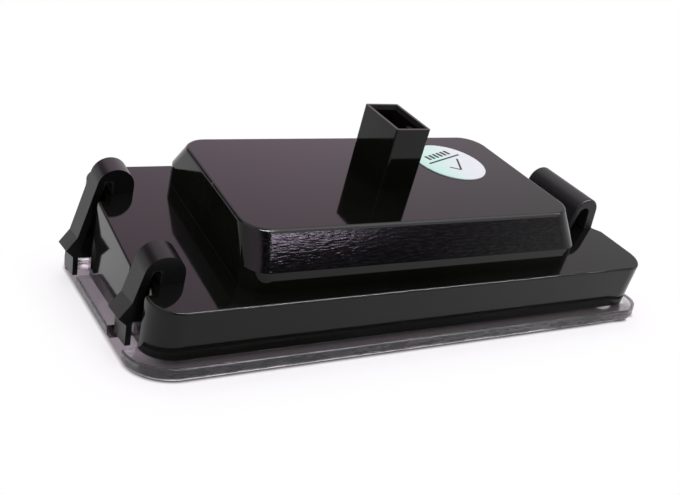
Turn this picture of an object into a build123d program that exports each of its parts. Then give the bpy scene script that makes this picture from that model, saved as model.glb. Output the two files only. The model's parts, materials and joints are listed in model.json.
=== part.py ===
"""LED number plate lamp: a wedge-shaped black housing on a clear lens, lying on its lens.

World frame: millimetres, Z up, origin at the centre of the lens's outer face, which is the rest face.
X runs along the lamp from the spring clips to the arch lug, Y towards the tall side.
The housing has its own frame, with its origin at the middle of the deck's upper face, tilted about X.
"""
import math
import os

from build123d import *

os.makedirs("parts", exist_ok=True)

# Tray
TRAY_LENGTH = 70.0
TRAY_WIDTH = 31.7
TRAY_CORNER = 3.5
FRONT_WALL = 6.0            # deck to lens at the low side
WEDGE_ANGLE = 11.6          # deck against lens
WALL = 1.6
DECK = 1.6
DECK_EDGE = 0.25

# Raised box on the deck
BOX_END_MARGIN = 11.2       # deck left free at each end
BOX_SIDE_MARGIN = 2.15      # deck left free at each long side
BOX_X = -0.6                # box's middle from the tray's, towards the clips
BOX_CORNER = 2.8
BOX_END_DRAFT = 0.3
BOX_SIDE_RUN = 2.7          # how far each long side slopes in
BOX_TOP_CORNER = 3.2
PLINTH = 2.5
BOX_HEIGHT = 6.3
BOX_WALL = 1.5
BOX_EDGE = 0.4

# Connector shroud on the box
SHROUD_LENGTH = 4.9
SHROUD_WIDTH = 7.7
SHROUD_HEIGHT = 8.0
SHROUD_WALL = 0.8
SHROUD_LEAD_IN = 0.45
SHROUD_EDGE = 0.25
SHROUD_X = -0.1
SHROUD_Y = 0.7

# Hairpin spring clips at the low X end
CLIP_WIDTH = 3.4
CLIP_MARGIN = 6.25          # clip's middle from the tray's side
CLIP_Y = 0.75
CLIP_THICK = 0.95
CLIP_SLOT = 1.0             # between the arm and the stiff leg behind it
ARCH_RADIUS = 2.35
ARCH_INSET = 2.55           # arch axis from the tray's end
ARCH_RISE = 1.0             # arch axis above the deck
ARM_LEAN = 13.0
BARB_HEIGHT = 3.0           # barb ridge above the lens
BARB_SLOPE = 1.9
BARB_DEPTH = 0.85
BARB_RETURN = 0.95
TAIL_REACH = 0.7            # clip tail below the lens's inner face
TAIL_TIP = 0.65
TAIL_DRAFT = 0.15
CLIP_RELIEF = 1.4           # pocket in the end wall behind each clip
CLIP_LOW_GAP = 1.7          # pocket beside the clip, at its low side
CLIP_HIGH_GAP = 0.5
PAD_MARGIN = 1.0            # thicker end wall round each pocket

# Arch lug at the high X end
LUG_WIDTH = 10.1
LUG_Y = -0.8
LUG_HEIGHT = 4.7
LUG_RADIUS = 2.05
LUG_DRAFT = 10.0            # how far its legs spread
LUG_CROWN = 1.3
LUG_HOLE_RADIUS = 0.9
LUG_HOLE_X = -0.35          # hole's axis from the arch's
LUG_EDGE = 0.3
LUG_RELIEF = 0.95           # shallow pocket in the end wall under the lug
LUG_RELIEF_GAP = 0.1
LUG_RELIEF_ANGLE = 37.0

# Lens
LENS_THICK = 1.6
LENS_RIM = 1.7
LENS_EDGE = 0.5
RIB_HEIGHT = 1.4
RIB_THICK = 1.0
RIB_GAP = 0.15

# Circuit board and what it carries
BOARD_END_GAP = 3.4
BOARD_SIDE_GAP = 0.75
BOARD_THICK = 1.2
BOARD_CORNER = 2.0
POST_INSET_X = 3.0
POST_INSET_Y = 4.0
POST_RADIUS = 1.0
POST_GAP = 0.1
POST_HEAD_RADIUS = 1.7
POST_HEAD = 0.8
POST_HEAD_TAPER = 30.0
LED_COLUMNS = 6
LED_ROWS = 3
LED_INSET_X = 7.5           # outer emitters from the board's edge
LED_INSET_Y = 6.0
LED_LENGTH = 3.5
LED_WIDTH = 2.8
LED_HEIGHT = 0.8
LED_FRAME = 0.35
LED_WINDOW_DEPTH = 0.15
LED_WINDOW_CORNER = 0.3
RESISTOR_INSET = 2.1
RESISTOR_LENGTH = 3.2
RESISTOR_WIDTH = 1.6
RESISTOR_HEIGHT = 0.6
RESISTOR_CHAMFER = 0.12
DIODE_INSET = 2.8
DIODE_Y = 1.5
DIODE_LENGTH = 4.3
DIODE_WIDTH = 2.6
DIODE_HEIGHT = 2.0
DIODE_CHAMFER = 0.35
PIN_SIZE = 0.64
PIN_PITCH = 2.5
PIN_GAP = 0.03              # pin in its moulded hole
PIN_TOP = 2.0               # pin tip below the shroud's rim
PIN_TAIL = 1.0              # pin tail below the board
PIN_POINT = 0.15
PIN_HOLE_GAP = 0.05         # pin's corners in the board's hole
SOLDER_RADIUS = 0.9
SOLDER_HEIGHT = 0.7
SOLDER_TAPER = 30.0

# Round label on the box
LABEL_RADIUS = 5.0
LABEL_THICK = 0.12
LABEL_X = 12.7
LABEL_Y = 3.2

MERGE = 0.3                 # depth by which moulded-on features root in their carrier

slope = math.tan(math.radians(WEDGE_ANGLE))
wedge_sin = math.sin(math.radians(WEDGE_ANGLE))
wedge_cos = math.cos(math.radians(WEDGE_ANGLE))
lean = math.radians(ARM_LEAN)
draft = math.radians(LUG_DRAFT)
mid_depth = FRONT_WALL + slope * TRAY_WIDTH / 2
deepest = FRONT_WALL + slope * (TRAY_WIDTH + LENS_RIM) + LENS_THICK
lens_inner = Plane.XY.offset(LENS_THICK)
deck = Plane(
    origin=(0, -mid_depth * wedge_sin, LENS_THICK + mid_depth * wedge_cos),
    x_dir=(1, 0, 0),
    z_dir=(0, -wedge_sin, wedge_cos),
)
upright = Axis(deck.origin, deck.z_dir)

tray_left = -TRAY_LENGTH / 2
tray_right = TRAY_LENGTH / 2
cavity_length = TRAY_LENGTH - 2 * WALL
cavity_width = TRAY_WIDTH - 2 * WALL
cavity_corner = TRAY_CORNER - WALL
box_length = TRAY_LENGTH - 2 * BOX_END_MARGIN
box_width = TRAY_WIDTH - 2 * BOX_SIDE_MARGIN
box_top_length = box_length - 2 * BOX_END_DRAFT
box_top_width = box_width - 2 * BOX_SIDE_RUN
clip_reach = TRAY_WIDTH / 2 - CLIP_MARGIN
clip_centres = [CLIP_Y - clip_reach, CLIP_Y + clip_reach]
pocket_width = CLIP_WIDTH + CLIP_LOW_GAP + CLIP_HIGH_GAP
pocket_shift = (CLIP_HIGH_GAP - CLIP_LOW_GAP) / 2
pocket_centres = [y + pocket_shift for y in clip_centres]
pad_width = pocket_width + 2 * PAD_MARGIN
lug_pocket_flare = 2 * LUG_RELIEF / math.tan(math.radians(LUG_RELIEF_ANGLE))
lug_pocket_width = LUG_WIDTH + 2 * (LUG_RELIEF_GAP + lug_pocket_flare)
lug_spring = LUG_HEIGHT - LUG_RADIUS
lug_foot = (LUG_RADIUS + lug_spring * math.sin(draft)) / math.cos(draft)
lug_middle = tray_right - LUG_RELIEF - lug_foot
hole_middle = lug_middle + LUG_HOLE_X
hole_spring = LUG_HEIGHT - LUG_CROWN - LUG_HOLE_RADIUS
hole_foot = (LUG_HOLE_RADIUS + hole_spring * math.sin(draft)) / math.cos(draft)

lens_length = TRAY_LENGTH + 2 * LENS_RIM
lens_width = TRAY_WIDTH / wedge_cos + 2 * LENS_RIM
rib_inner = RIB_GAP + RIB_THICK

board_face = deck.offset(-DECK - BOARD_THICK)
board_length = cavity_length - 2 * BOARD_END_GAP
board_width = cavity_width - 2 * BOARD_SIDE_GAP
post_x = board_length / 2 - POST_INSET_X
post_y = board_width / 2 - POST_INSET_Y
post_places = [(-post_x, -post_y), (post_x, post_y)]
led_spacing_x = (board_length - 2 * LED_INSET_X) / (LED_COLUMNS - 1)
led_spacing_y = (board_width - 2 * LED_INSET_Y) / (LED_ROWS - 1)
column_places = [(column - (LED_COLUMNS - 1) / 2) * led_spacing_x for column in range(LED_COLUMNS)]
row_places = [(row - (LED_ROWS - 1) / 2) * led_spacing_y for row in range(LED_ROWS)]
led_places = [(x, y) for y in row_places for x in column_places]
pin_places = [(SHROUD_X, SHROUD_Y - PIN_PITCH / 2), (SHROUD_X, SHROUD_Y + PIN_PITCH / 2)]
pin_top = BOX_HEIGHT + SHROUD_HEIGHT - PIN_TOP
pin_length = pin_top + DECK + BOARD_THICK + PIN_TAIL


def cross_plane(y):
    """Upright plane across the deck's frame: its x is the deck's x, its y the deck's normal."""
    return Plane(origin=deck.from_local_coords((0, y, 0)), x_dir=deck.x_dir, z_dir=-deck.y_dir)


def lens_depth(y):
    """Height of the lens's inner face in the deck's frame."""
    return -FRONT_WALL - slope * (y + TRAY_WIDTH / 2)


def arm_x(foot, z):
    """Place at height z on the leaning side of a clip arm that leaves its arch at foot."""
    return foot[0] - (foot[1] - z) * math.tan(lean)


def clip_section(y):
    """Outline of a spring clip at one place along the deck's y."""
    outer = ARCH_RADIUS
    inner = ARCH_RADIUS - CLIP_THICK
    middle = tray_left + ARCH_INSET
    foot_out = (middle - outer * math.cos(lean), ARCH_RISE + outer * math.sin(lean))
    foot_in = (middle - inner * math.cos(lean), ARCH_RISE + inner * math.sin(lean))
    ridge_z = lens_depth(y) + BARB_HEIGHT
    root_z = ridge_z - BARB_RETURN
    tip_z = lens_depth(y) - TAIL_REACH
    barb_start = (arm_x(foot_out, ridge_z + BARB_SLOPE), ridge_z + BARB_SLOPE)
    ridge = (arm_x(foot_out, ridge_z) - BARB_DEPTH, ridge_z)
    root = (ridge[0] + BARB_RETURN, root_z)
    tip = (root[0] + TAIL_DRAFT, tip_z)
    tip_in = (tip[0] + TAIL_TIP, tip_z)
    root_in = (arm_x(foot_in, root_z), root_z)
    slot = CLIP_SLOT / 2
    slot_x = foot_in[0] + slot * math.cos(lean)
    slot_z = foot_in[1] - slot * math.sin(lean)
    with BuildSketch(cross_plane(y)) as section:
        with BuildLine():
            Line((middle + outer, -MERGE), (middle + outer, ARCH_RISE))
            ThreePointArc((middle + outer, ARCH_RISE), (middle, ARCH_RISE + outer), foot_out)
            Polyline(foot_out, barb_start, ridge, root, tip, tip_in, root_in, foot_in)
            ThreePointArc(foot_in, (slot_x, slot_z + slot), (slot_x + slot, slot_z))
            Polyline((slot_x + slot, slot_z), (slot_x + slot, -MERGE), (middle + outer, -MERGE))
        make_face()
    return section.sketch


def box_outline(inset, corner):
    """Plan of the raised box's upright plinth, moved inwards by a wall."""
    with Locations((BOX_X, 0)):
        RectangleRounded(box_length - 2 * inset, box_width - 2 * inset, corner)


def box_top_outline(inset, corner):
    """Plan of the raised box's top, moved inwards by a wall."""
    with Locations((BOX_X, 0)):
        RectangleRounded(box_top_length - 2 * inset, box_top_width - 2 * inset, corner)


def lug_arch(middle, radius, spring, foot):
    """One side of the lug's arch: a round crown on two straight legs that spread down to the deck."""
    side = radius * math.cos(draft)
    side_z = spring + radius * math.sin(draft)
    Polyline((middle + foot, -MERGE), (middle + foot, 0), (middle + side, side_z))
    ThreePointArc((middle + side, side_z), (middle, spring + radius), (middle - side, side_z))
    Polyline((middle - side, side_z), (middle - foot, 0), (middle - foot, -MERGE))


# Housing: tray, raised box, shroud, clips and lug in one moulding
with BuildPart() as housing:
    with BuildSketch(deck):
        RectangleRounded(TRAY_LENGTH, TRAY_WIDTH, TRAY_CORNER)
    extrude(amount=-deepest)
    fillet(housing.faces().sort_by(upright)[-1].edges(), DECK_EDGE)

    # The tray is hollow, with a thicker end wall behind each clip
    with BuildSketch(deck.offset(-DECK)):
        RectangleRounded(cavity_length, cavity_width, cavity_corner)
        with Locations(*[(tray_left + WALL, y) for y in pocket_centres]):
            Rectangle(2 * CLIP_RELIEF, pad_width, mode=Mode.SUBTRACT)
    extrude(amount=-deepest, mode=Mode.SUBTRACT)

    # Raised box: upright plinth, then sloped sides up to the flat top, hollow from below
    with BuildSketch(deck.offset(-MERGE)):
        box_outline(0, BOX_CORNER)
    with BuildSketch(deck.offset(PLINTH)):
        box_outline(0, BOX_CORNER)
    with BuildSketch(deck.offset(BOX_HEIGHT)):
        box_top_outline(0, BOX_TOP_CORNER)
    loft(ruled=True)
    fillet(housing.faces().sort_by(upright)[-1].edges(), BOX_EDGE)
    with BuildSketch(deck.offset(-DECK)):
        box_outline(BOX_WALL, BOX_CORNER / 2)
    with BuildSketch(deck.offset(PLINTH)):
        box_outline(BOX_WALL, BOX_CORNER / 2)
    with BuildSketch(deck.offset(BOX_HEIGHT - BOX_WALL)):
        box_top_outline(BOX_WALL, BOX_TOP_CORNER / 2)
    loft(ruled=True, mode=Mode.SUBTRACT)

    # Connector shroud with a lead-in round its mouth
    with BuildSketch(deck.offset(BOX_HEIGHT - MERGE)):
        with Locations((SHROUD_X, SHROUD_Y)):
            RectangleRounded(SHROUD_LENGTH, SHROUD_WIDTH, SHROUD_EDGE)
    extrude(amount=SHROUD_HEIGHT + MERGE)
    with BuildSketch(deck.offset(BOX_HEIGHT)):
        with Locations((SHROUD_X, SHROUD_Y)):
            Rectangle(SHROUD_LENGTH - 2 * SHROUD_WALL, SHROUD_WIDTH - 2 * SHROUD_WALL)
    extrude(amount=SHROUD_HEIGHT, mode=Mode.SUBTRACT)
    mouth = housing.faces().sort_by(upright)[-1]
    chamfer(mouth.inner_wires()[0].edges(), SHROUD_LEAD_IN)
    with BuildSketch(deck.offset(BOX_HEIGHT)):
        with Locations(*pin_places):
            Rectangle(PIN_SIZE + 2 * PIN_GAP, PIN_SIZE + 2 * PIN_GAP)
    extrude(amount=-2 * BOX_WALL, mode=Mode.SUBTRACT)

    # Pockets in the end walls behind the clips and under the lug
    with BuildSketch(deck.offset(MERGE)):
        with Locations(*[(tray_left, y) for y in pocket_centres]):
            Rectangle(2 * CLIP_RELIEF, pocket_width)
        with Locations((tray_right, LUG_Y)):
            Trapezoid(lug_pocket_width, 2 * LUG_RELIEF, LUG_RELIEF_ANGLE, rotation=90)
    extrude(amount=-deepest, mode=Mode.SUBTRACT)

    # Two posts that pass through the board and are staked under it
    with BuildSketch(deck.offset(-DECK + MERGE)):
        with Locations(*post_places):
            Circle(POST_RADIUS)
    extrude(amount=-BOARD_THICK - MERGE - POST_HEAD)
    with BuildSketch(board_face):
        with Locations(*post_places):
            Circle(POST_HEAD_RADIUS)
    extrude(amount=-POST_HEAD, taper=POST_HEAD_TAPER)

    # The lens plane cuts the walls off at a slant
    split(bisect_by=lens_inner, keep=Keep.TOP)

    # Hairpin clips, with longer arms at the tall side
    for y in clip_centres:
        add(clip_section(y - CLIP_WIDTH / 2))
        add(clip_section(y + CLIP_WIDTH / 2))
        loft(ruled=True)

    # Arch lug, flush with the pocket under it
    with BuildSketch(cross_plane(LUG_Y - LUG_WIDTH / 2)):
        with BuildLine():
            lug_arch(lug_middle, LUG_RADIUS, lug_spring, lug_foot)
            lug_arch(hole_middle, LUG_HOLE_RADIUS, hole_spring, hole_foot)
            Line((lug_middle - lug_foot, -MERGE), (hole_middle - hole_foot, -MERGE))
            Line((hole_middle + hole_foot, -MERGE), (lug_middle + lug_foot, -MERGE))
        make_face()
    extrude(amount=-LUG_WIDTH)
    fillet(housing.edges(Select.LAST).filter_by(GeomType.CIRCLE).sort_by(SortBy.RADIUS)[-2:], LUG_EDGE)
housing.part.label = "housing"
export_step(housing.part, "parts/housing.step")

# Lens: flat plate with a rim, clip notches and a locating rib inside the tray
with BuildPart() as lens:
    with BuildSketch():
        RectangleRounded(lens_length, lens_width, TRAY_CORNER + LENS_RIM)
    extrude(amount=LENS_THICK)
    fillet(lens.faces().sort_by(Axis.Z)[0].edges(), LENS_EDGE)
    with BuildSketch(deck):
        RectangleRounded(cavity_length - 2 * RIB_GAP, cavity_width - 2 * RIB_GAP, cavity_corner)
        RectangleRounded(cavity_length - 2 * rib_inner, cavity_width - 2 * rib_inner, cavity_corner,
                         mode=Mode.SUBTRACT)
        with Locations(*[(tray_left + WALL, y) for y in pocket_centres]):
            Rectangle(2 * (CLIP_RELIEF + RIB_GAP), pad_width + 2 * RIB_GAP, mode=Mode.SUBTRACT)
    extrude(amount=-deepest)
    split(bisect_by=lens_inner.offset(RIB_HEIGHT), keep=Keep.BOTTOM)
    split(bisect_by=Plane.XY, keep=Keep.TOP)
    with BuildSketch():
        with Locations(*[(-lens_length / 2, y / wedge_cos) for y in pocket_centres]):
            Rectangle(2 * (LENS_RIM + CLIP_RELIEF), pocket_width)
    extrude(amount=LENS_THICK, mode=Mode.SUBTRACT)
lens.part.label = "lens"
export_step(lens.part, "parts/lens.step")

# Round label on the raised box
with BuildPart() as inspection_label:
    with BuildSketch(deck.offset(BOX_HEIGHT)):
        with Locations((LABEL_X, LABEL_Y)):
            Circle(LABEL_RADIUS)
    extrude(amount=LABEL_THICK)
inspection_label.part.label = "inspection_label"
export_step(inspection_label.part, "parts/inspection_label.step")

# Circuit board against the deck's underside
with BuildPart() as circuit_board:
    with BuildSketch(board_face):
        RectangleRounded(board_length, board_width, BOARD_CORNER)
        with Locations(*post_places):
            Circle(POST_RADIUS + POST_GAP, mode=Mode.SUBTRACT)
        with Locations(*pin_places):
            Circle(PIN_SIZE / math.sqrt(2) + PIN_HOLE_GAP, mode=Mode.SUBTRACT)
    extrude(amount=BOARD_THICK)
circuit_board.part.label = "circuit_board"
export_step(circuit_board.part, "parts/circuit_board.step")

# Emitters on the board's underside, row after row
for number, place in enumerate(led_places, start=1):
    with BuildPart() as led:
        with BuildSketch(board_face):
            with Locations(place):
                Rectangle(LED_WIDTH, LED_LENGTH)
        extrude(amount=-LED_HEIGHT)
        with BuildSketch(board_face.offset(-LED_HEIGHT)) as window:
            with Locations(place):
                Rectangle(LED_WIDTH - 2 * LED_FRAME, LED_LENGTH - 2 * LED_FRAME)
            chamfer(window.vertices(), LED_WINDOW_CORNER)
        extrude(amount=LED_WINDOW_DEPTH, mode=Mode.SUBTRACT)
    led.part.label = f"led_{number:02d}"
    export_step(led.part, f"parts/led_{number:02d}.step")

# Chip resistors, one above each column of emitters
for number, column_x in enumerate(column_places, start=1):
    with BuildPart() as resistor:
        with BuildSketch(board_face):
            with Locations((column_x, board_width / 2 - RESISTOR_INSET)):
                Rectangle(RESISTOR_LENGTH, RESISTOR_WIDTH)
        extrude(amount=-RESISTOR_HEIGHT)
        chamfer(resistor.faces().sort_by(upright)[0].edges(), RESISTOR_CHAMFER)
    resistor.part.label = f"resistor_{number}"
    export_step(resistor.part, f"parts/resistor_{number}.step")

# Reverse-polarity diode at the lug end
with BuildPart() as diode:
    with BuildSketch(board_face):
        with Locations((board_length / 2 - DIODE_INSET, DIODE_Y)):
            Rectangle(DIODE_WIDTH, DIODE_LENGTH)
    extrude(amount=-DIODE_HEIGHT)
    chamfer(diode.faces().sort_by(upright)[0].edges(), DIODE_CHAMFER)
diode.part.label = "diode"
export_step(diode.part, "parts/diode.step")

# Square terminal pins, each soldered to the board
for number, place in enumerate(pin_places, start=1):
    with BuildPart() as terminal_pin:
        with BuildSketch(deck.offset(pin_top)):
            with Locations(place):
                Rectangle(PIN_SIZE, PIN_SIZE)
        extrude(amount=-pin_length)
        chamfer(terminal_pin.faces().sort_by(upright)[-1].edges(), PIN_POINT)
        with BuildSketch(board_face):
            with Locations(place):
                Circle(SOLDER_RADIUS)
        extrude(amount=-SOLDER_HEIGHT, taper=SOLDER_TAPER)
    terminal_pin.part.label = f"terminal_pin_{number}"
    export_step(terminal_pin.part, f"parts/terminal_pin_{number}.step")
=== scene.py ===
import json
import math

import bmesh
import bpy
from mathutils import Matrix, Vector


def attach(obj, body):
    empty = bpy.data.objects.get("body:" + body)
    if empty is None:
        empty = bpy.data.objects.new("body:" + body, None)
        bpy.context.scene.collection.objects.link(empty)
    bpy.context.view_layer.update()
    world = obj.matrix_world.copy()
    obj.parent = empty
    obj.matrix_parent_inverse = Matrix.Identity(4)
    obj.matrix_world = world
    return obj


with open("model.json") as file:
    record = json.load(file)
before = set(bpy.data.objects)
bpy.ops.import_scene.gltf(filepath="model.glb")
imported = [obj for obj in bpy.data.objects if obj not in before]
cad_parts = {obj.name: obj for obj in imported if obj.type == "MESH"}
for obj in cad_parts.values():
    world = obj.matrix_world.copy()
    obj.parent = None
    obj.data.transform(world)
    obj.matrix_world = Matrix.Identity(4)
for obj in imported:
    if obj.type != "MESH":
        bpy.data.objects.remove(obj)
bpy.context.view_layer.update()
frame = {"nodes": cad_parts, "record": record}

MM = 0.001

# Camera at the photograph's angle, in millimetres and degrees
CAMERA_PLACE = (-62.04, -87.77, 44.10)
CAMERA_TURN = (72.61, -5.81, -24.52)
CAMERA_LENS = 44.22
CAMERA_SHIFT = (0.147, -0.0735)
CAMERA_CLIP = 5.0

# Deck frame of the housing: origin at the middle of the deck, x along the lamp, z off the deck
SOCKET_FROM_DECK = Vector((-0.1, 0.7, 14.3))
OFF_DECK = (0.005, 0.03)    # from these heights on, a place stands clear of the deck
BOX_MIDDLE = -0.6
BOX_PLINTH = 2.5
SLOPE_HALF_LENGTH = 20.6    # flat stretch of the box's long sloped sides
SLOPE_FADE = (0.6, 2.6)     # the slopes' finish fades out this far past that stretch
SLOPE_TOP = 5.95
SLOPE_MIDDLE = 4.2
SLOPE_CROWN = 0.062         # how far the slopes bulge
SLOPE_FROM_MIDDLE = 8.5     # the slopes lie at least this far to either side of the deck's middle
SPARK_STRETCH = (0.9, 4.4, 4.4)     # drawn grain, long along the lamp
STREAK_STRETCH = (0.75, 7.0, 7.0)
DRAWN_DEPTH = 0.026
SKIN_DEPTH = 0.004
RIDGE = (5.93, 6.29)        # duller edge between a slope and the box's top
RIDGE_FADE = 1.0
TRAY_END = 35.0
CLIPS_REACH = -27.0         # clips stand on the deck before this place
LUG_REACH = 26.0            # the lug stands on the deck after this place
CLIP_SLOT = (-33.9, -32.75)
CLIP_SLOT_RISE = (0.1, 1.75)
FOOT_START = 0.02           # small round where the ends of the plinth meet the deck
FOOT_HEIGHT = 0.1
FOOT_DEPTH = 0.01
FOOT_FROM_SLOPE = (2.9, 6.0)

# Lens
LENS_HALF = (36.7, 17.88)
LENS_CORNER = 5.2
LENS_THICKNESS = 1.6
LENS_EDGE_ROUND = 0.15      # depth of the round along the upper edge
LENS_EDGE_RISE = 0.3        # and its height
LENS_IOR = 1.58

# Round label
LABEL_MIDDLE = (12.7, 3.2)
LABEL_TURN = 20.0
LABEL_SHIFT = (-3.5, 3.0)   # the tint changes between these places
DIVIDER = ((-3.6, 0.85), (3.6, 0.85))
TICK = ((-1.5, -1.1), (-0.5, -2.3), (2.0, 0.1))
INK_HALF_WIDTH = 0.15
INK_SOFT = 0.03
BAR_PITCH = 0.9
BAR_GAP = 0.18              # half of the bare paper between two bars
BAR_ROW = (1.5, 2.6)
BAR_REACH = 2.7

# Circuit board, seen through the lens
BOARD_FACE = -2.8
BOARD_HALF = (30.0, 13.5)
BOARD_EDGE = (0.04, 0.01)   # bare glass fibre starts this far from the outline
EMITTER_PITCH = (9.0, 7.5)
EMITTER_COLUMNS = 6
EMITTER_ROWS = 3
EMITTER_SIZE = (2.8, 3.5)
EMITTER_HEIGHT = 0.8
EMITTER_FRAME = 0.35
WINDOW_DEPTH = 0.15
WINDOW_CORNER = 0.3
GEL_GAP = 0.02
GEL_CROWN = 0.05
GEL_STEP = 0.2              # the crown rises in two rings of this width
GEL_RISE = (0.7, 0.3)       # shares of the crown in those rings
PAD_REACH = 0.45            # tinned pads stand out this far past what they carry
PAD_LAP = 0.3               # and reach this far under it
TRACE_HALF_WIDTH = 0.7
RAIL = (12.6, 13.1)         # long copper rails at both sides
RESISTOR_ROW = (10.5, 12.3)
RESISTOR_HALF = 1.6
RESISTOR_CAP = 1.15         # tinned ends start this far from a resistor's middle
RESISTOR_HEIGHT = 0.6
DIODE_BAND = (2.7, 3.2)

# Floor, with distances outwards from the lens's outline
FLOOR_DROP = 0.05
FLOOR_RADIUS = 900.0
FLOOR_SEGMENTS = 96
FLOOR_GLOW = 0.62           # share of the floor's white that the lamp doesn't shade
FLOOR_FADE = (0.0, 9.0)     # the shade fades out between these distances
RIM_FADE = (-0.4, 0.35)     # step from the painted shade under the lens to the open floor
RIM_SHADE = (-3.0, -1.1)    # under the rim the painted shade is darkest near the tray
DEEP_SHADE = (-4.4, -3.4)   # and a little lighter again further in
LIGHT_LET_IN = -1.6         # further in than this, light from below reaches the board
CLIP_END_LIT = (-32.0, -34.5)   # along the lamp: painted light on the floor under the clips' end
CORNER_SHADE = (-17.0, -11.0)   # across the lamp: but not at the near corner
LUG_END_LIT = (33.5, 36.0)      # along the lamp: painted light, brighter still under the lug's end
GLINTS_LIT = (25.0, 32.0)       # along the lamp: painted glints, bright patches towards the lug's end
GLINTS_NEAR = (-9.0, -12.0)     # across the lamp: on the near side only

# Light tent: axis of a direction, and the limits between which a mask rises along it
RIGHT, BACK, UP = range(3)
PLAIN_SIDE = ((RIGHT, 0.45, 0.8),)
ABOVE_HORIZON = ((UP, 0.12, 0.42),)
OVERHEAD = ((UP, 0.72, 0.86),)
DARK_FRONT = ((BACK, -0.15, -0.6), (UP, -0.02, 0.2), (RIGHT, 0.74, 0.59), (RIGHT, -0.5, -0.2))
DARK_BEHIND_CLIPS = ((RIGHT, -0.1, -0.4), (BACK, 0.2, 0.5), (UP, 0.3, 0.45))


socket_mount = next(m for m in frame["record"]["mounts"] if m["name"] == "connector_socket")
socket_axis = Vector(socket_mount["axis"])
wedge = math.atan2(-socket_axis.y, socket_axis.z)
deck_turn = Matrix.Rotation(wedge, 4, "X")
deck_middle = Vector(socket_mount["pos_m"]) - deck_turn @ SOCKET_FROM_DECK * MM
deck_frame = Matrix.Translation(deck_middle) @ deck_turn @ Matrix.Scale(MM, 4)


# Node helpers

def add(tree, kind, **settings):
    """A new shader node with its own properties set."""
    made = tree.nodes.new("ShaderNode" + kind)
    for name, value in settings.items():
        setattr(made, name, value)
    return made


def feed(tree, socket, value):
    """Puts another node's output, or a plain value, into a socket."""
    if isinstance(value, bpy.types.NodeSocket):
        tree.links.new(value, socket)
    else:
        socket.default_value = value


def feed_all(tree, sockets, values):
    """Fills sockets in their order."""
    for socket, value in zip(sockets, values):
        feed(tree, socket, value)


def calc(tree, operation, *values, clamp=False):
    """One step of arithmetic on sockets and numbers."""
    made = add(tree, "Math", operation=operation, use_clamp=clamp)
    feed_all(tree, made.inputs, values)
    return made.outputs[0]


def both(tree, *masks):
    """Where all of several masks hold."""
    joint = masks[0]
    for mask in masks[1:]:
        joint = calc(tree, "MULTIPLY", joint, mask)
    return joint


def either(tree, *masks):
    """Where any of several masks holds."""
    joint = masks[0]
    for mask in masks[1:]:
        joint = calc(tree, "MAXIMUM", joint, mask)
    return joint


def ease(tree, value, low, high, to_low=0.0, to_high=1.0):
    """Smooth step of a value from low to high."""
    made = add(tree, "MapRange", interpolation_type="SMOOTHSTEP")
    feed_all(tree, made.inputs, (value, low, high, to_low, to_high))
    return made.outputs[0]


def blend(tree, factor, first, second):
    """Mix of two colours."""
    made = add(tree, "Mix", data_type="RGBA")
    feed(tree, made.inputs[0], factor)
    feed(tree, made.inputs[6], first)
    feed(tree, made.inputs[7], second)
    return made.outputs[2]


def spread(tree, factor, first, second):
    """Mix of two values."""
    made = add(tree, "Mix", data_type="FLOAT")
    feed(tree, made.inputs[0], factor)
    feed(tree, made.inputs[2], first)
    feed(tree, made.inputs[3], second)
    return made.outputs[0]


def shader_mix(tree, factor, first, second):
    """Mix of two shaders."""
    made = add(tree, "MixShader")
    feed_all(tree, made.inputs, (factor, first, second))
    return made.outputs[0]


def coloured(tree, kind, colour):
    """A plain shader of one colour."""
    made = add(tree, kind)
    feed(tree, made.inputs["Color"], colour)
    return made.outputs[0]


def grey(level):
    """Neutral colour."""
    return (level, level, level, 1)


def axes_of(tree, place):
    """The three parts of a place or a direction."""
    split = add(tree, "SeparateXYZ")
    feed(tree, split.inputs[0], place)
    return split.outputs


def stretched(tree, place, scale):
    """A place with its axes stretched."""
    made = add(tree, "Mapping")
    feed(tree, made.inputs["Vector"], place)
    feed(tree, made.inputs["Scale"], scale)
    return made.outputs[0]


def seen_from(tree, place, origin, turn, scale=(1, 1, 1)):
    """A place measured in a frame of its own, with the frame's three axes given apart."""
    made = add(tree, "Mapping", vector_type="TEXTURE")
    feed(tree, made.inputs["Vector"], place)
    feed(tree, made.inputs["Location"], origin)
    feed(tree, made.inputs["Rotation"], turn)
    feed(tree, made.inputs["Scale"], scale)
    return made.outputs[0], axes_of(tree, made.outputs[0])


def grain(tree, place, scale, detail=2.0, roughness=0.5):
    """Value of a noise."""
    made = add(tree, "TexNoise")
    feed(tree, made.inputs["Vector"], place)
    feed(tree, made.inputs["Scale"], scale)
    feed(tree, made.inputs["Detail"], detail)
    feed(tree, made.inputs["Roughness"], roughness)
    return made.outputs[0]


def bump(tree, height, distance, under=None):
    """Normal of a relief whose depth is given in millimetres, on top of another relief."""
    made = add(tree, "Bump")
    feed(tree, made.inputs["Height"], height)
    feed(tree, made.inputs["Distance"], distance * MM)
    if under is not None:
        feed(tree, made.inputs["Normal"], under)
    return made.outputs[0]


def new_group(name, inputs, outputs):
    """A node group with named sockets. Returns the group, its inputs and its outputs."""
    group = bpy.data.node_groups.new(name, "ShaderNodeTree")
    for label, kind, value in inputs:
        socket = group.interface.new_socket(label, in_out="INPUT", socket_type="NodeSocket" + kind)
        if value is not None:
            socket.default_value = value
    for label, kind in outputs:
        group.interface.new_socket(label, in_out="OUTPUT", socket_type="NodeSocket" + kind)
    return group, group.nodes.new("NodeGroupInput").outputs, group.nodes.new("NodeGroupOutput").inputs


def use(tree, group, **values):
    """Places a group in a tree, with its inputs set by name, and returns its outputs."""
    made = add(tree, "Group")
    made.node_tree = group
    for name, value in values.items():
        feed(tree, made.inputs[name.replace("_", " ").capitalize()], value)
    return made.outputs


# Shared effects

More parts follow.
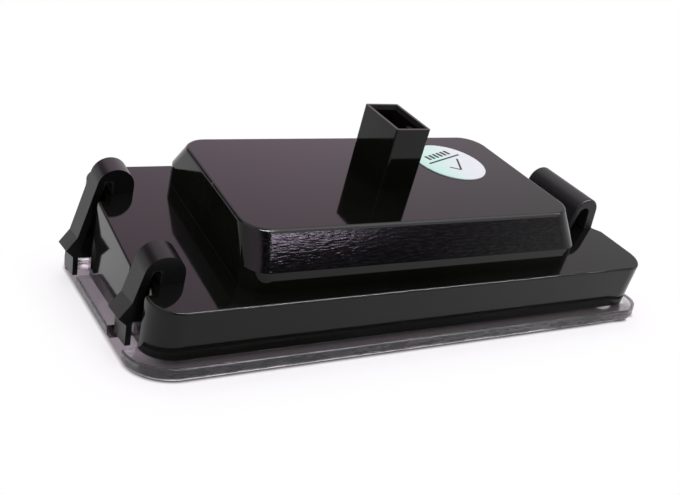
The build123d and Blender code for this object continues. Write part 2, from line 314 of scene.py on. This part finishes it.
def make_deck_place():
    """Object coordinates as millimetres in the deck's frame."""
    group, _, given = new_group(
        "deck place", [],
        [("Place", "Vector"), ("Along", "Float"), ("Across", "Float"), ("Height", "Float")])
    where = add(group, "TexCoord")
    place, axes = seen_from(group, where.outputs["Object"], deck_middle, (wedge, 0, 0), (MM, MM, MM))
    feed(group, given["Place"], place)
    feed(group, given["Along"], axes[0])
    feed(group, given["Across"], axes[1])
    feed(group, given["Height"], axes[2])
    return group


def make_band():
    """1 between two limits of a value, 0 outside, with a soft step."""
    group, taken, given = new_group(
        "band",
        [("Value", "Float", 0.0), ("Low", "Float", 0.0), ("High", "Float", 1.0), ("Soft", "Float", 0.05)],
        [("Mask", "Float")])
    rise = ease(group, taken["Value"], calc(group, "SUBTRACT", taken["Low"], taken["Soft"]),
                calc(group, "ADD", taken["Low"], taken["Soft"]))
    fall = ease(group, taken["Value"], calc(group, "SUBTRACT", taken["High"], taken["Soft"]),
                calc(group, "ADD", taken["High"], taken["Soft"]), 1.0, 0.0)
    feed(group, given["Mask"], both(group, rise, fall))
    return group


def make_moulded_skin():
    """Faint unevenness of a moulded surface: slow waves, fine pits and patches of polish."""
    group, taken, given = new_group(
        "moulded skin",
        [("Place", "Vector", None), ("Wave size", "Float", 9.0), ("Pit size", "Float", 0.35),
         ("Pits", "Float", 0.3)],
        [("Height", "Float"), ("Polish", "Float")])
    waves = grain(group, taken["Place"], calc(group, "DIVIDE", 1.0, taken["Wave size"]), 1.0)
    pits = grain(group, taken["Place"], calc(group, "DIVIDE", 1.0, taken["Pit size"]), 3.0, 0.6)
    feed(group, given["Height"], spread(group, taken["Pits"], waves, pits))
    patches = grain(group, taken["Place"], calc(group, "DIVIDE", 0.6, taken["Wave size"]), 4.0, 0.65)
    feed(group, given["Polish"], ease(group, patches, 0.35, 0.7))
    return group


def make_lens_outline():
    """Millimetres outwards from the lens's rounded outline and up from its outer face.

    Over the lens the first is negative.
    """
    group, _, given = new_group("lens outline", [], [("Outside", "Float"), ("Rise", "Float")])
    axes = axes_of(group, add(group, "TexCoord").outputs["Object"])
    over = []
    for socket, half in zip(axes, LENS_HALF):
        away = calc(group, "SUBTRACT", calc(group, "ABSOLUTE", socket), (half - LENS_CORNER) * MM)
        over.append(calc(group, "POWER", calc(group, "MAXIMUM", away, 0.0), 2.0))
    reach = calc(group, "SQRT", calc(group, "ADD", *over))
    feed(group, given["Outside"], calc(group, "SUBTRACT", calc(group, "DIVIDE", reach, MM), LENS_CORNER))
    feed(group, given["Rise"], calc(group, "DIVIDE", axes[2], MM))
    return group


deck_place = make_deck_place()
band = make_band()
moulded_skin = make_moulded_skin()
lens_outline = make_lens_outline()


def between(tree, value, low, high, soft=0.04):
    """Mask of a value between two limits."""
    return use(tree, band, value=value, low=low, high=high, soft=soft)["Mask"]


def new_material(name):
    """A material with its Principled shader."""
    made = bpy.data.materials.new(name)
    made.use_nodes = True
    made.node_tree.nodes.clear()
    shader = add(made.node_tree, "BsdfPrincipled")
    output = add(made.node_tree, "OutputMaterial")
    feed(made.node_tree, output.inputs["Surface"], shader.outputs[0])
    return made, made.node_tree, shader.inputs


def dress(material, *names):
    """Gives CAD nodes their finish."""
    for name in names:
        frame["nodes"][name].material_slots[0].material = material


# Finishes

def black_plastic():
    """Polished black moulding, satin on the clips and the lug, with a drawn grain on the box's slopes and
    painted light on the lug.
    """
    material, tree, shader = new_material("black moulded plastic")
    where = use(tree, deck_place)
    skin = use(tree, moulded_skin, place=where["Place"], wave_size=7.0, pit_size=0.3, pits=0.12)

    off_deck = ease(tree, where["Height"], *OFF_DECK)
    at_clips = ease(tree, where["Along"], CLIPS_REACH, CLIPS_REACH + 0.1, 1.0, 0.0)
    at_lug = ease(tree, where["Along"], LUG_REACH - 0.1, LUG_REACH)
    outside = ease(tree, where["Along"], -TRAY_END - 0.1, -TRAY_END - 0.02, 1.0, 0.0)
    satin = either(tree, both(tree, off_deck, either(tree, at_clips, at_lug)), outside)
    in_slot = both(tree, between(tree, where["Along"], *CLIP_SLOT),
                   between(tree, where["Height"], *CLIP_SLOT_RISE))

    from_box = calc(tree, "ABSOLUTE", calc(tree, "SUBTRACT", where["Along"], BOX_MIDDLE))
    fade_end = SLOPE_HALF_LENGTH + SLOPE_FADE[1]
    slope = both(
        tree,
        ease(tree, from_box, SLOPE_HALF_LENGTH + SLOPE_FADE[0], fade_end, 1.0, 0.0),
        between(tree, where["Height"], BOX_PLINTH + 0.1, SLOPE_TOP, 0.08),
        ease(tree, calc(tree, "ABSOLUTE", where["Across"]), SLOPE_FROM_MIDDLE, SLOPE_FROM_MIDDLE + 0.2))
    ridge = both(
        tree,
        between(tree, where["Height"], *RIDGE, 0.01),
        ease(tree, from_box, SLOPE_HALF_LENGTH - RIDGE_FADE, SLOPE_HALF_LENGTH + RIDGE_FADE, 1.0, 0.0))
    sparks = grain(tree, stretched(tree, where["Place"], SPARK_STRETCH), 1.0)
    drawn = both(tree, calc(tree, "SUBTRACT", sparks, 0.5), slope)
    streaks = grain(tree, stretched(tree, where["Place"], STREAK_STRETCH), 1.0, 3.0, 0.6)
    from_middle = calc(tree, "DIVIDE", calc(tree, "SUBTRACT", where["Height"], SLOPE_MIDDLE),
                       SLOPE_TOP - SLOPE_MIDDLE)
    fall = calc(tree, "POWER", calc(tree, "ABSOLUTE", from_middle), 2.0)
    bulge = calc(tree, "SUBTRACT", 1.0, fall, clamp=True)
    crown = both(tree, bulge, ease(tree, from_box, SLOPE_HALF_LENGTH, fade_end, 1.0, 0.0))
    foot_ends = [SLOPE_HALF_LENGTH + reach for reach in FOOT_FROM_SLOPE]
    foot = both(tree, ease(tree, where["Height"], 0.0, FOOT_START),
                ease(tree, where["Height"], FOOT_START, FOOT_HEIGHT, 1.0, 0.0),
                between(tree, from_box, *foot_ends, 0.2))
    under = bump(tree, skin["Height"], SKIN_DEPTH)
    under = bump(tree, foot, FOOT_DEPTH, under)
    under = bump(tree, crown, SLOPE_CROWN, under)

    polish = spread(tree, skin["Polish"], 0.055, 0.085)
    rubbed = spread(tree, skin["Polish"], 0.3, 0.38)
    shine = spread(tree, in_slot, spread(tree, satin, polish, rubbed), 0.9)
    feed(tree, shader["Roughness"], spread(tree, ridge, spread(tree, slope, shine, 0.14), 0.6))
    black = blend(tree, skin["Polish"], (0.003, 0.0036, 0.0026, 1), (0.0042, 0.0047, 0.0037, 1))
    # satin black on the clips; the lug's much lighter black is painted light
    satin_and_painted_lug_light = blend(tree, at_lug, (0.0026, 0.0029, 0.0026, 1), (0.015, 0.0152, 0.0158, 1))
    greyed = blend(tree, slope, blend(tree, satin, black, satin_and_painted_lug_light), (0.0012, 0.0013, 0.0012, 1))
    scuffs = both(tree, slope, ease(tree, streaks, 0.46, 0.7))
    feed(tree, shader["Base Color"], blend(tree, scuffs, greyed, (0.0105, 0.0092, 0.011, 1)))
    feed(tree, shader["Specular IOR Level"], 0.2)
    feed(tree, shader["Normal"], bump(tree, drawn, DRAWN_DEPTH, under))
    return material


def clear_plastic():
    """Clear polished lens plate with faint flow waves, and a drawn frost on its outer edge."""
    material, tree, shader = new_material("clear lens plastic")
    where = use(tree, deck_place)
    skin = use(tree, moulded_skin, place=where["Place"], wave_size=4.0, pit_size=0.25, pits=0.2)
    outline = use(tree, lens_outline)
    edge = ease(tree, outline["Outside"], -0.1, -0.05)
    round_start = LENS_THICKNESS - LENS_EDGE_RISE
    dashes = grain(tree, stretched(tree, where["Place"], (0.3, 0.3, 1.8)), 1.0, 2.0, 0.6)
    smoky = both(tree, edge, ease(tree, dashes, 0.45, 0.53),
                 between(tree, outline["Rise"], 0.25, round_start, 0.12))
    feed(tree, shader["Base Color"], blend(tree, smoky, (0.95, 0.94, 0.96, 1), (0.13, 0.115, 0.14, 1)))
    feed(tree, shader["Transmission Weight"], 1.0)
    feed(tree, shader["IOR"], LENS_IOR)
    feed(tree, shader["Roughness"], spread(tree, edge, spread(tree, skin["Polish"], 0.02, 0.09), 0.3))
    streaks = grain(tree, stretched(tree, where["Place"], (0.4, 0.4, 2.4)), 1.5, 2.0, 0.6)
    rounded = both(tree, edge, ease(tree, outline["Rise"], round_start, LENS_THICKNESS, 0.0, -1.0))
    under = bump(tree, rounded, LENS_EDGE_ROUND)
    feed(tree, shader["Normal"], bump(tree, spread(tree, edge, skin["Height"], streaks), 0.03, under))
    return material


def stroke(tree, place, start, end):
    """Ink along one straight stroke on the label."""
    run = Vector(end) - Vector(start)
    middle = (Vector(start) + Vector(end)) / 2
    _, axes = seen_from(tree, place, (*middle, 0), (0, 0, math.atan2(run.y, run.x)))
    half = run.length / 2
    return both(tree, between(tree, axes[0], -half, half, INK_SOFT),
                between(tree, axes[1], -INK_HALF_WIDTH, INK_HALF_WIDTH, INK_SOFT))


def label_paper():
    """Pale lacquered paper that shifts from mint to lavender, printed with a divider, bars and a tick."""
    material, tree, shader = new_material("pale label paper")
    where = use(tree, deck_place)
    turn = (0, 0, math.radians(LABEL_TURN))
    place, axes = seen_from(tree, where["Place"], (*LABEL_MIDDLE, 0), turn)
    aslant = calc(tree, "SUBTRACT", axes[0], calc(tree, "MULTIPLY", axes[1], 0.5))
    shift = ease(tree, aslant, *LABEL_SHIFT)
    paper = blend(tree, shift, (0.57, 0.9, 0.74, 1), (0.74, 0.81, 0.8, 1))
    clouds = ease(tree, grain(tree, where["Place"], 0.35), 0.3, 0.7, 0.0, 0.35)
    pale = blend(tree, clouds, paper, (0.78, 0.82, 0.82, 1))
    bars = both(
        tree,
        between(tree, calc(tree, "PINGPONG", axes[0], BAR_PITCH / 2), BAR_GAP, BAR_PITCH),
        between(tree, axes[0], -BAR_REACH, BAR_REACH),
        between(tree, axes[1], *BAR_ROW))
    ink = either(tree, bars, stroke(tree, place, *DIVIDER), stroke(tree, place, *TICK[:2]),
                 stroke(tree, place, *TICK[1:]))
    feed(tree, shader["Base Color"], blend(tree, ink, pale, (0.02, 0.025, 0.025, 1)))
    fibres = grain(tree, where["Place"], 6.0, 4.0, 0.6)
    feed(tree, shader["Roughness"], spread(tree, fibres, 0.32, 0.5))
    feed(tree, shader["Specular IOR Level"], 0.12)
    feed(tree, shader["Normal"], bump(tree, fibres, 0.006))
    return material


def emitter_axes(tree, where):
    """Distances from the nearest column and row of emitters."""
    half = EMITTER_PITCH[0] / 2
    column = calc(tree, "SUBTRACT", half, calc(tree, "PINGPONG", where["Along"], half))
    row = calc(tree, "PINGPONG", where["Across"], EMITTER_PITCH[1] / 2)
    return column, row


def board_laminate():
    """White solder mask over copper traces, tinned pads, and a glass-fibre edge."""
    material, tree, shader = new_material("white board laminate")
    where = use(tree, deck_place)
    column, row = emitter_axes(tree, where)
    half_row = EMITTER_SIZE[1] / 2
    emitter_pads = both(tree, between(tree, row, half_row - PAD_LAP, half_row + PAD_REACH),
                        between(tree, column, -1, EMITTER_SIZE[0] / 2),
                        between(tree, where["Across"], -RESISTOR_ROW[0], RESISTOR_ROW[0]))
    resistor_pads = both(tree, between(tree, column, RESISTOR_CAP, RESISTOR_HALF + PAD_REACH),
                         between(tree, where["Across"], *RESISTOR_ROW))
    below = between(tree, where["Height"], BOARD_FACE - 0.1, BOARD_FACE + 0.1, 0.01)
    pads = both(tree, either(tree, emitter_pads, resistor_pads), below)
    traces = both(tree, between(tree, column, -1, TRACE_HALF_WIDTH),
                  between(tree, where["Across"], -RESISTOR_ROW[1], RESISTOR_ROW[1]))
    rails = either(tree, between(tree, where["Across"], *RAIL),
                   between(tree, where["Across"], -RAIL[1], -RAIL[0]))
    copper = either(tree, traces, rails)
    edge = either(tree, *[
        ease(tree, calc(tree, "ABSOLUTE", where[name]), half - BOARD_EDGE[0], half - BOARD_EDGE[1])
        for name, half in zip(("Along", "Across"), BOARD_HALF)])
    mottle = grain(tree, where["Place"], 1.2, 3.0)
    mask = blend(tree, mottle, (0.78, 0.8, 0.78, 1), (0.86, 0.87, 0.84, 1))
    over_copper = blend(tree, calc(tree, "MULTIPLY", copper, 0.6), mask, (0.7, 0.72, 0.64, 1))
    fibre = blend(tree, grain(tree, stretched(tree, where["Place"], (1, 1, 6)), 2.0),
                  (0.5, 0.46, 0.26, 1), (0.66, 0.6, 0.4, 1))
    tinned = blend(tree, mottle, (0.68, 0.68, 0.66, 1), (0.82, 0.82, 0.8, 1))
    feed(tree, shader["Base Color"], blend(tree, edge, blend(tree, pads, over_copper, tinned), fibre))
    feed(tree, shader["Metallic"], pads)
    feed(tree, shader["Roughness"], spread(tree, pads, spread(tree, mottle, 0.3, 0.45), 0.25))
    weave = grain(tree, where["Place"], 3.0)
    height = calc(tree, "ADD", calc(tree, "MULTIPLY", weave, 0.15), either(tree, copper, pads))
    feed(tree, shader["Normal"], bump(tree, height, 0.03))
    return material


def emitter_frame():
    """White moulded frame of an emitter, with tinned ends at its foot."""
    material, tree, shader = new_material("white emitter frame")
    where = use(tree, deck_place)
    _, row = emitter_axes(tree, where)
    half_row = EMITTER_SIZE[1] / 2
    foot = both(tree, ease(tree, row, half_row - 0.25, half_row - 0.2),
                ease(tree, where["Height"], BOARD_FACE - 0.35, BOARD_FACE - 0.3))
    speckle = grain(tree, where["Place"], 4.0, 3.0)
    white = blend(tree, speckle, (0.8, 0.8, 0.77, 1), (0.88, 0.88, 0.86, 1))
    feed(tree, shader["Base Color"], blend(tree, foot, white, (0.78, 0.78, 0.76, 1)))
    feed(tree, shader["Metallic"], foot)
    feed(tree, shader["Roughness"], spread(tree, speckle, 0.35, 0.55))
    feed(tree, shader["Normal"], bump(tree, speckle, 0.01))
    return material


def phosphor_gel():
    """Yellow emitter gel with fine phosphor grains under a smooth skin."""
    material, tree, shader = new_material("yellow phosphor gel")
    where = use(tree, deck_place)
    grains = grain(tree, where["Place"], 14.0, 3.0, 0.6)
    clouds = grain(tree, where["Place"], 1.5)
    warm = blend(tree, clouds, (0.86, 0.6, 0.08, 1), (0.9, 0.72, 0.16, 1))
    bright = ease(tree, grains, 0.5, 0.75)
    feed(tree, shader["Base Color"], blend(tree, bright, warm, (0.94, 0.84, 0.4, 1)))
    feed(tree, shader["Roughness"], spread(tree, grains, 0.15, 0.3))
    feed(tree, shader["Normal"], bump(tree, grains, 0.004))
    return material


def chip_resistor():
    """Black glazed top, pale ceramic sides and tinned ends."""
    material, tree, shader = new_material("glazed chip resistor")
    where = use(tree, deck_place)
    column, _ = emitter_axes(tree, where)
    ends = ease(tree, column, RESISTOR_CAP, RESISTOR_CAP + 0.06)
    top = BOARD_FACE - RESISTOR_HEIGHT
    glaze = ease(tree, where["Height"], top + 0.1, top + 0.15, 1.0, 0.0)
    mottle = grain(tree, where["Place"], 5.0, 3.0)
    body = blend(tree, glaze, (0.72, 0.71, 0.68, 1), (0.02, 0.02, 0.022, 1))
    tin = blend(tree, mottle, (0.66, 0.66, 0.64, 1), (0.8, 0.8, 0.78, 1))
    feed(tree, shader["Base Color"], blend(tree, ends, body, tin))
    feed(tree, shader["Metallic"], ends)
    feed(tree, shader["Roughness"], spread(tree, mottle, 0.22, 0.4))
    feed(tree, shader["Normal"], bump(tree, mottle, 0.015))
    return material


def diode_body():
    """Matt black moulded body with a pale band at one end."""
    material, tree, shader = new_material("matt diode body")
    where = use(tree, deck_place)
    mottle = grain(tree, where["Place"], 6.0, 3.0)
    stripe = between(tree, where["Across"], *DIODE_BAND)
    black = blend(tree, mottle, (0.018, 0.018, 0.02, 1), (0.03, 0.03, 0.032, 1))
    feed(tree, shader["Base Color"], blend(tree, stripe, black, (0.62, 0.62, 0.6, 1)))
    feed(tree, shader["Roughness"], spread(tree, mottle, 0.5, 0.65))
    feed(tree, shader["Normal"], bump(tree, mottle, 0.02))
    return material


def tinned_pin():
    """Drawn tinned brass, with bright solder under the board."""
    material, tree, shader = new_material("tinned terminal pin")
    where = use(tree, deck_place)
    draws = grain(tree, stretched(tree, where["Place"], (8, 8, 0.6)), 1.0, 3.0)
    solder = ease(tree, where["Height"], BOARD_FACE - 0.02, BOARD_FACE + 0.02, 1.0, 0.0)
    tin = blend(tree, draws, (0.68, 0.65, 0.58, 1), (0.82, 0.8, 0.74, 1))
    feed(tree, shader["Base Color"], blend(tree, solder, tin, grey(0.8)))
    feed(tree, shader["Metallic"], 1.0)
    feed(tree, shader["Roughness"], spread(tree, solder, spread(tree, draws, 0.25, 0.4), 0.16))
    feed(tree, shader["Normal"], bump(tree, draws, 0.01))
    return material


# Pieces

def placed(name, mesh, material):
    """Turns a finished mesh into an object of the scene."""
    data = bpy.data.meshes.new(name)
    mesh.to_mesh(data)
    mesh.free()
    data.materials.append(material)
    made = bpy.data.objects.new(name, data)
    bpy.context.scene.collection.objects.link(made)
    return made


def emitter_gels():
    """A crowned pad of gel in the window of every emitter, as one piece."""
    mesh = bmesh.new()
    sides = [size - 2 * (EMITTER_FRAME + GEL_GAP) for size in EMITTER_SIZE]
    floor = BOARD_FACE - EMITTER_HEIGHT + WINDOW_DEPTH
    depth = WINDOW_DEPTH - GEL_CROWN
    for column in range(EMITTER_COLUMNS):
        for row in range(EMITTER_ROWS):
            place = Vector(((column - (EMITTER_COLUMNS - 1) / 2) * EMITTER_PITCH[0],
                            (row - (EMITTER_ROWS - 1) / 2) * EMITTER_PITCH[1], floor - depth / 2))
            block = Matrix.LocRotScale(place, None, (*sides, depth))
            pad = bmesh.ops.create_cube(mesh, size=1.0, matrix=block)
            corners = [
                edge for edge in mesh.edges
                if edge.verts[0] in pad["verts"]
                and abs(edge.verts[0].co.z - edge.verts[1].co.z) > depth / 2]
            bmesh.ops.bevel(mesh, geom=corners, offset=WINDOW_CORNER, affect="EDGES", segments=1,
                            profile=0.5, material=-1)
    faces = [face for face in mesh.faces if face.normal.z < -0.9]
    for share in GEL_RISE:
        bmesh.ops.inset_individual(mesh, faces=faces, thickness=GEL_STEP, depth=GEL_CROWN * share)
    bmesh.ops.transform(mesh, matrix=deck_frame, verts=mesh.verts)
    bmesh.ops.recalc_face_normals(mesh, faces=mesh.faces)
    piece = placed("emitter_gels", mesh, phosphor_gel())
    piece.data.shade_smooth()
    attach(piece, "root")


# Studio

def painted_shade_and_light_under_lens(tree, from_lens):
    """Painted shade on the floor as it shows through the clear rim: dark, with painted light at the
    lens's ends and painted glints near the lug.
    """
    where = add(tree, "TexCoord").outputs["Object"]
    along, across, _ = axes_of(tree, stretched(tree, where, (1 / MM, 1 / MM, 1 / MM)))
    painted_clip_end_light = both(tree, ease(tree, along, *CLIP_END_LIT), ease(tree, across, *CORNER_SHADE))
    painted_lug_end_light = ease(tree, along, *LUG_END_LIT)
    patches = ease(tree, grain(tree, where, 0.4 / MM, 0.0), 0.48, 0.66)
    painted_glints = both(tree, patches, ease(tree, along, *GLINTS_LIT), ease(tree, across, *GLINTS_NEAR))
    # painted shade under the rim, darkest near the tray and a little lighter further in
    painted_deep_shade = blend(tree, ease(tree, from_lens, *DEEP_SHADE),
                 (0.075, 0.055, 0.075, 1), (0.012, 0.011, 0.0105, 1))
    painted_under_rim = blend(tree, ease(tree, from_lens, *RIM_SHADE), painted_deep_shade, (0.092, 0.08, 0.086, 1))
    painted_under_rim = blend(tree, painted_clip_end_light, painted_under_rim, (0.26, 0.225, 0.25, 1))
    painted_under_rim = blend(tree, painted_lug_end_light, painted_under_rim, (0.5, 0.47, 0.48, 1))
    return blend(tree, painted_glints, painted_under_rim, (0.95, 0.93, 0.91, 1))


def floor_finish():
    """White that keeps the lamp's soft shadow, with painted shade and light under the clear rim, and lets
    the view and the light through from below.
    """
    material = bpy.data.materials.new("white floor")
    material.use_nodes = True
    tree = material.node_tree
    tree.nodes.clear()
    path = add(tree, "LightPath").outputs
    seen = calc(tree, "ADD", path["Is Camera Ray"],
                calc(tree, "ADD", path["Is Glossy Ray"], path["Is Transmission Ray"]), clamp=True)
    from_lens = use(tree, lens_outline)["Outside"]
    open_floor = ease(tree, from_lens, *FLOOR_FADE)
    past_rim = ease(tree, from_lens, *RIM_FADE)
    lit = blend(tree, open_floor, grey(FLOOR_GLOW), grey(1))
    # under the clear rim the glow is painted shade and light; past it, the floor's plain white
    white = coloured(tree, "Emission", blend(tree, past_rim, painted_shade_and_light_under_lens(tree, from_lens), lit))
    share = both(tree, past_rim, calc(tree, "SUBTRACT", 1.0, open_floor))
    shade = coloured(tree, "BsdfDiffuse", blend(tree, share, grey(0), grey(1 - FLOOR_GLOW)))
    shown = add(tree, "AddShader")
    feed_all(tree, shown.inputs, (white, shade))
    above = shader_mix(tree, seen, coloured(tree, "BsdfDiffuse", grey(0.9)), shown.outputs[0])

    from_inside = both(tree, calc(tree, "GREATER_THAN", path["Diffuse Depth"], 0.5),
                       calc(tree, "LESS_THAN", from_lens, LIGHT_LET_IN))
    from_below = calc(tree, "GREATER_THAN", path["Transparent Depth"], 0.5)
    see_through = either(tree, add(tree, "NewGeometry").outputs["Backfacing"], from_inside, from_below)
    clear = add(tree, "BsdfTransparent").outputs[0]
    output = add(tree, "OutputMaterial")
    feed(tree, output.inputs["Surface"], shader_mix(tree, see_through, above, clear))
    return material


def white_floor():
    """Round white floor just under the lens."""
    mesh = bmesh.new()
    bmesh.ops.create_circle(mesh, cap_ends=True, segments=FLOOR_SEGMENTS, radius=FLOOR_RADIUS * MM)
    bmesh.ops.translate(mesh, verts=mesh.verts, vec=(0, 0, -FLOOR_DROP * MM))
    floor = placed("floor", mesh, floor_finish())


def towards(tree, axes, limits):
    """Where a direction lies past all of several limits."""
    return both(tree, *[ease(tree, axes[axis], low, high) for axis, low, high in limits])


def light_tent():
    """Soft tent: white at the horizon, mauve above it, plainer to the right and pale overhead.

    It is dark in front and behind the clips.
    """
    world = bpy.data.worlds.new("light tent")
    world.use_nodes = True
    bpy.context.scene.world = world
    tree = world.node_tree
    tree.nodes.clear()
    way = axes_of(tree, add(tree, "TexCoord").outputs["Generated"])
    sky = blend(tree, towards(tree, way, PLAIN_SIDE), (1.42, 1.1, 1.32, 1), (0.74, 0.73, 0.74, 1))
    low = blend(tree, towards(tree, way, ABOVE_HORIZON), grey(1), sky)
    dome = blend(tree, towards(tree, way, OVERHEAD), low, (1.6, 1.65, 1.7, 1))
    dark = either(tree, towards(tree, way, DARK_FRONT), towards(tree, way, DARK_BEHIND_CLIPS))
    tent = blend(tree, dark, dome, (0.05, 0.047, 0.053, 1))
    shown = blend(tree, add(tree, "LightPath").outputs["Is Camera Ray"], tent, grey(1))
    output = add(tree, "OutputWorld")
    feed(tree, output.inputs["Surface"], coloured(tree, "Background", shown))


def soft_box(name, place, aim, width, height, power, colour, edges_only=False):
    """Long oval area lamp that points at a place. For edges only, it lights nothing matt."""
    data = bpy.data.lights.new(name, "AREA")
    data.shape = "ELLIPSE"
    data.size = width * MM
    data.size_y = height * MM
    data.energy = power
    data.color = colour
    lamp = bpy.data.objects.new(name, data)
    lamp.location = Vector(place) * MM
    lamp.rotation_euler = (Vector(aim) - Vector(place)).to_track_quat("-Z", "Y").to_euler()
    lamp.visible_diffuse = not edges_only
    bpy.context.scene.collection.objects.link(lamp)


def photo_camera():
    """Camera at the photograph's angle."""
    data = bpy.data.cameras.new("camera")
    data.lens = CAMERA_LENS
    data.shift_x, data.shift_y = CAMERA_SHIFT
    data.clip_start = CAMERA_CLIP * MM
    camera = bpy.data.objects.new("camera", data)
    camera.location = Vector(CAMERA_PLACE) * MM
    camera.rotation_euler = [math.radians(turn) for turn in CAMERA_TURN]
    bpy.context.scene.collection.objects.link(camera)
    bpy.context.scene.camera = camera


dress(black_plastic(), "housing")
dress(clear_plastic(), "lens")
dress(label_paper(), "inspection_label")
dress(board_laminate(), "circuit_board")
dress(emitter_frame(), *[name for name in frame["nodes"] if name.startswith("led_")])
dress(chip_resistor(), *[name for name in frame["nodes"] if name.startswith("resistor_")])
dress(diode_body(), "diode")
dress(tinned_pin(), "terminal_pin_1", "terminal_pin_2")
emitter_gels()

bpy.context.scene.view_settings.view_transform = "Standard"
white_floor()
light_tent()
# The thin strip is for the glint along the deck's front edge. From straight above, the deck mirrors it.
soft_box("edge_strip", place=(200, -214, 394), aim=(200, 0, 0), width=640, height=14, power=6.5,
         colour=(1, 1, 1), edges_only=True)
soft_box("front_strip", place=(156, -356, 225), aim=(0, 0, 0), width=170, height=24, power=0.4,
         colour=(0.92, 0.78, 1))
photo_camera()
